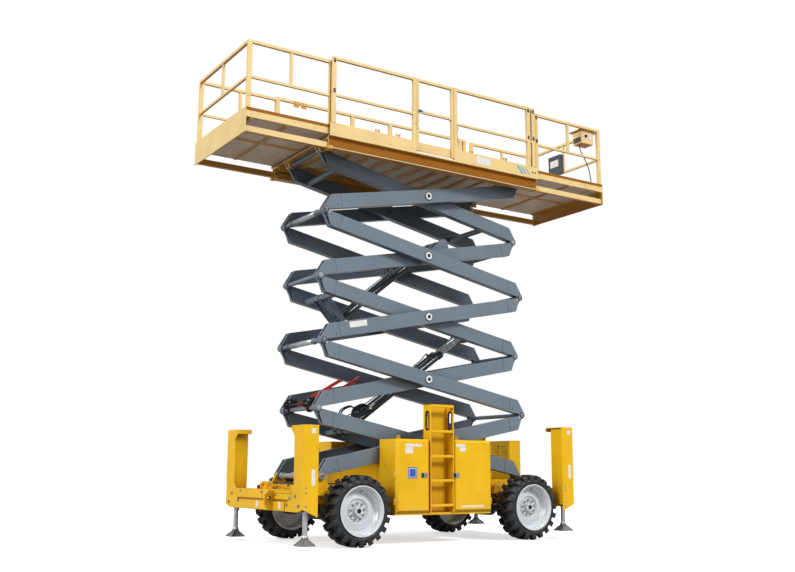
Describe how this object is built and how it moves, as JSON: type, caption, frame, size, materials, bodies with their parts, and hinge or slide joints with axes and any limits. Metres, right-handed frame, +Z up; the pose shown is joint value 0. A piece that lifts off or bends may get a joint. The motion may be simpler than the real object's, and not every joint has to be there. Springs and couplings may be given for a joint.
{
  "type": "rough-terrain scissor lift",
  "caption": "Wheeled scissor lift, half raised, with a railed work platform, sliding extension decks, side boxes, a ladder and outrigger columns.",
  "frame": {"origin": "on the floor under the middle of the machine's overall length and width", "axes": "+X forward to the steered wheels, +Y to the machine's left, +Z up"},
  "size_m": [6.384, 2.37, 6.5899],
  "materials": {
    "chassis_paint": "semi-gloss yellow",
    "platform_paint": "semi-gloss pale amber",
    "arm_paint": "satin slate grey",
    "tyre": "matt rubber",
    "wheel_paint": "silver",
    "cylinder_paint": "satin black",
    "chrome": "polished",
    "jack_steel": "plated",
    "prop_paint": "gloss red",
    "axle_paint": "satin black",
    "deck_plate": "grey non-slip plate",
    "grey_plastic": "matt grey"
  },
  "bodies": {
    "chassis": {"chassis_frame": "chassis_paint", "rear_outrigger_frame": "chassis_paint", "front_outrigger_frame": "chassis_paint", "rear_axle": "axle_paint", "front_axle": "axle_paint", "ladder": "chassis_paint", "front_hood": "chassis_paint", "left_rear_box": "chassis_paint", "left_front_box": "chassis_paint", "right_rear_box": "chassis_paint", "right_front_box": "chassis_paint", "battery_pack": "cylinder_paint"},
    "outer_arms_1": {"outer_arms_1": "arm_paint"},
    "inner_arms_1": {"inner_arms_1": "arm_paint"},
    "outer_arms_2": {"outer_arms_2": "arm_paint"},
    "inner_arms_2": {"inner_arms_2": "arm_paint"},
    "outer_arms_3": {"outer_arms_3": "arm_paint"},
    "inner_arms_3": {"inner_arms_3": "arm_paint"},
    "outer_arms_4": {"outer_arms_4": "arm_paint"},
    "inner_arms_4": {"inner_arms_4": "arm_paint"},
    "outer_arms_5": {"outer_arms_5": "arm_paint"},
    "inner_arms_5": {"inner_arms_5": "arm_paint"},
    "platform": {"deck_frame": "platform_paint", "deck_floor": "deck_plate", "deck_rails": "platform_paint"},
    "lower_cylinder_barrels": {"lower_cylinder_barrels": "cylinder_paint"},
    "lower_cylinder_rods": {"lower_cylinder_rods": "chrome"},
    "upper_cylinder_barrels": {"upper_cylinder_barrels": "cylinder_paint"},
    "upper_cylinder_rods": {"upper_cylinder_rods": "chrome"},
    "safety_prop": {"safety_prop": "prop_paint"},
    "left_knuckle": {"left_knuckle": "axle_paint"},
    "rear_left_wheel": {"rear_left_tyre": "tyre", "rear_left_rim": "wheel_paint"},
    "rear_left_jack": {"rear_left_jack": "jack_steel"},
    "left_rear_door": {"left_rear_door": "chassis_paint"},
    "front_left_wheel": {"front_left_tyre": "tyre", "front_left_rim": "wheel_paint"},
    "front_left_jack": {"front_left_jack": "jack_steel"},
    "left_front_door": {"left_front_door": "chassis_paint"},
    "right_knuckle": {"right_knuckle": "axle_paint"},
    "rear_right_wheel": {"rear_right_tyre": "tyre", "rear_right_rim": "wheel_paint"},
    "rear_right_jack": {"rear_right_jack": "jack_steel"},
    "right_rear_door": {"right_rear_door": "chassis_paint"},
    "front_right_wheel": {"front_right_tyre": "tyre", "front_right_rim": "wheel_paint"},
    "front_right_jack": {"front_right_jack": "jack_steel"},
    "right_front_door": {"right_front_door": "chassis_paint"},
    "rear_extension": {"rear_extension_deck": "platform_paint", "rear_extension_rails": "platform_paint"},
    "front_extension": {"front_extension_deck": "platform_paint", "front_extension_rails": "platform_paint", "control_box": "platform_paint", "document_box": "grey_plastic"},
    "gate": {"entry_gate": "platform_paint"}
  },
  "joints": [
    {"name": "lift", "type": "hinge", "parent": "chassis", "child": "outer_arms_1", "pos_m": [-1.854, 0, 0.892], "axis": [0, -1, 0], "range_deg": [-11.42, 33.24]},
    {"name": "centre_pin_1", "type": "hinge", "parent": "outer_arms_1", "child": "inner_arms_1", "pos_m": [-0.15212, 0, 1.3405], "axis": [0, 1, 0], "range_deg": [-22.86, 66.51]},
    {"name": "outer_pin_2", "type": "hinge", "parent": "outer_arms_1", "child": "outer_arms_2", "pos_m": [1.54976, 0, 1.789], "axis": [0, 1, 0], "range_deg": [-22.86, 66.51]},
    {"name": "centre_pin_2", "type": "hinge", "parent": "outer_arms_2", "child": "inner_arms_2", "pos_m": [-0.15212, 0, 2.2375], "axis": [0, -1, 0], "range_deg": [-22.86, 66.51]},
    {"name": "outer_pin_3", "type": "hinge", "parent": "outer_arms_2", "child": "outer_arms_3", "pos_m": [-1.854, 0, 2.686], "axis": [0, -1, 0], "range_deg": [-22.86, 66.51]},
    {"name": "centre_pin_3", "type": "hinge", "parent": "outer_arms_3", "child": "inner_arms_3", "pos_m": [-0.15212, 0, 3.1345], "axis": [0, 1, 0], "range_deg": [-22.86, 66.51]},
    {"name": "outer_pin_4", "type": "hinge", "parent": "outer_arms_3", "child": "outer_arms_4", "pos_m": [1.54976, 0, 3.583], "axis": [0, 1, 0], "range_deg": [-22.86, 66.51]},
    {"name": "centre_pin_4", "type": "hinge", "parent": "outer_arms_4", "child": "inner_arms_4", "pos_m": [-0.15212, 0, 4.0315], "axis": [0, -1, 0], "range_deg": [-22.86, 66.51]},
    {"name": "outer_pin_5", "type": "hinge", "parent": "outer_arms_4", "child": "outer_arms_5", "pos_m": [-1.854, 0, 4.48], "axis": [0, -1, 0], "range_deg": [-22.86, 66.51]},
    {"name": "centre_pin_5", "type": "hinge", "parent": "outer_arms_5", "child": "inner_arms_5", "pos_m": [-0.15212, 0, 4.9285], "axis": [0, 1, 0], "range_deg": [-22.86, 66.51]},
    {"name": "deck_pin", "type": "hinge", "parent": "inner_arms_5", "child": "platform", "pos_m": [-1.854, 0, 5.377], "axis": [0, -1, 0], "range_deg": [-11.43, 33.25]},
    {"name": "lower_cylinder_pivot", "type": "hinge", "parent": "inner_arms_1", "child": "lower_cylinder_barrels", "pos_m": [-1.20321, 0, 1.4968], "axis": [0, -1, 0], "range_deg": [-23.43, 68.17]},
    {"name": "lower_cylinder_stroke", "type": "slide", "parent": "lower_cylinder_barrels", "child": "lower_cylinder_rods", "axis": [0.811, 0, 0.585], "range_m": [-0.44888, 1.30584]},
    {"name": "upper_cylinder_pivot", "type": "hinge", "parent": "inner_arms_3", "child": "upper_cylinder_barrels", "pos_m": [-1.2941, 0, 3.06636], "axis": [0, -1, 0], "range_deg": [-21.41, 62.28]},
    {"name": "upper_cylinder_stroke", "type": "slide", "parent": "upper_cylinder_barrels", "child": "upper_cylinder_rods", "axis": [0.7832, 0, 0.6218], "range_m": [-0.27451, 0.7986]},
    {"name": "safety_prop_hinge", "type": "hinge", "parent": "inner_arms_2", "child": "safety_prop", "pos_m": [-1.854, 0, 1.789], "axis": [0, -1, 0], "range_deg": [0, 35]},
    {"name": "steer_left", "type": "hinge", "parent": "chassis", "child": "left_knuckle", "pos_m": [1.331, 0.85, 0.457], "axis": [0, 0, 1], "range_deg": [-30, 30]},
    {"name": "steer_right", "type": "hinge", "parent": "chassis", "child": "right_knuckle", "pos_m": [1.331, -0.85, 0.457], "axis": [0, 0, 1], "range_deg": [-30, 30]},
    {"name": "rear_left_wheel_spin", "type": "hinge", "parent": "chassis", "child": "rear_left_wheel", "pos_m": [-1.519, 0.9737, 0.457], "axis": [0, 1, 0], "continuous": true},
    {"name": "rear_right_wheel_spin", "type": "hinge", "parent": "chassis", "child": "rear_right_wheel", "pos_m": [-1.519, -0.9737, 0.457], "axis": [0, 1, 0], "continuous": true},
    {"name": "front_left_wheel_spin", "type": "hinge", "parent": "left_knuckle", "child": "front_left_wheel", "pos_m": [1.331, 0.9737, 0.457], "axis": [0, 1, 0], "continuous": true},
    {"name": "front_right_wheel_spin", "type": "hinge", "parent": "right_knuckle", "child": "front_right_wheel", "pos_m": [1.331, -0.9737, 0.457], "axis": [0, 1, 0], "continuous": true},
    {"name": "rear_left_jack_slide", "type": "slide", "parent": "chassis", "child": "rear_left_jack", "axis": [0, 0, 1], "range_m": [-0.3, 0.2]},
    {"name": "rear_right_jack_slide", "type": "slide", "parent": "chassis", "child": "rear_right_jack", "axis": [0, 0, 1], "range_m": [-0.3, 0.2]},
    {"name": "front_left_jack_slide", "type": "slide", "parent": "chassis", "child": "front_left_jack", "axis": [0, 0, 1], "range_m": [-0.3, 0.2]},
    {"name": "front_right_jack_slide", "type": "slide", "parent": "chassis", "child": "front_right_jack", "axis": [0, 0, 1], "range_m": [-0.3, 0.2]},
    {"name": "rear_extension_slide", "type": "slide", "parent": "platform", "child": "rear_extension", "axis": [1, 0, 0], "range_m": [0, 1.192]},
    {"name": "front_extension_slide", "type": "slide", "parent": "platform", "child": "front_extension", "axis": [-1, 0, 0], "range_m": [0, 1.4]},
    {"name": "gate_hinge", "type": "hinge", "parent": "platform", "child": "gate", "pos_m": [0.1285, -0.861, 5.45], "axis": [0, 0, -1], "range_deg": [0, 90]},
    {"name": "left_rear_door_hinge", "type": "hinge", "parent": "chassis", "child": "left_rear_door", "pos_m": [-0.9905, 1.048, 0.417], "axis": [0, 0, 1], "range_deg": [0, 110]},
    {"name": "left_front_door_hinge", "type": "hinge", "parent": "chassis", "child": "left_front_door", "pos_m": [0.6215, 1.048, 0.417], "axis": [0, 0, -1], "range_deg": [0, 110]},
    {"name": "right_rear_door_hinge", "type": "hinge", "parent": "chassis", "child": "right_rear_door", "pos_m": [-0.9905, -1.048, 0.417], "axis": [0, 0, -1], "range_deg": [0, 110]},
    {"name": "right_front_door_hinge", "type": "hinge", "parent": "chassis", "child": "right_front_door", "pos_m": [0.6215, -1.048, 0.417], "axis": [0, 0, 1], "range_deg": [0, 110]}
  ],
  "couplings": [
    {"joint": "centre_pin_1", "follows": "lift", "ratio": 2},
    {"joint": "outer_pin_2", "follows": "lift", "ratio": 2},
    {"joint": "centre_pin_2", "follows": "lift", "ratio": 2},
    {"joint": "outer_pin_3", "follows": "lift", "ratio": 2},
    {"joint": "centre_pin_3", "follows": "lift", "ratio": 2},
    {"joint": "outer_pin_4", "follows": "lift", "ratio": 2},
    {"joint": "centre_pin_4", "follows": "lift", "ratio": 2},
    {"joint": "outer_pin_5", "follows": "lift", "ratio": 2},
    {"joint": "centre_pin_5", "follows": "lift", "ratio": 2},
    {"joint": "deck_pin", "follows": "lift", "ratio": 1},
    {"joint": "lower_cylinder_pivot", "follows": "lift", "ratio": 2.05},
    {"joint": "lower_cylinder_stroke", "follows": "lift", "m_per_rad": 2.25},
    {"joint": "upper_cylinder_pivot", "follows": "lift", "ratio": 1.873},
    {"joint": "upper_cylinder_stroke", "follows": "lift", "m_per_rad": 1.376},
    {"joint": "steer_right", "follows": "steer_left", "ratio": 1}
  ]
}
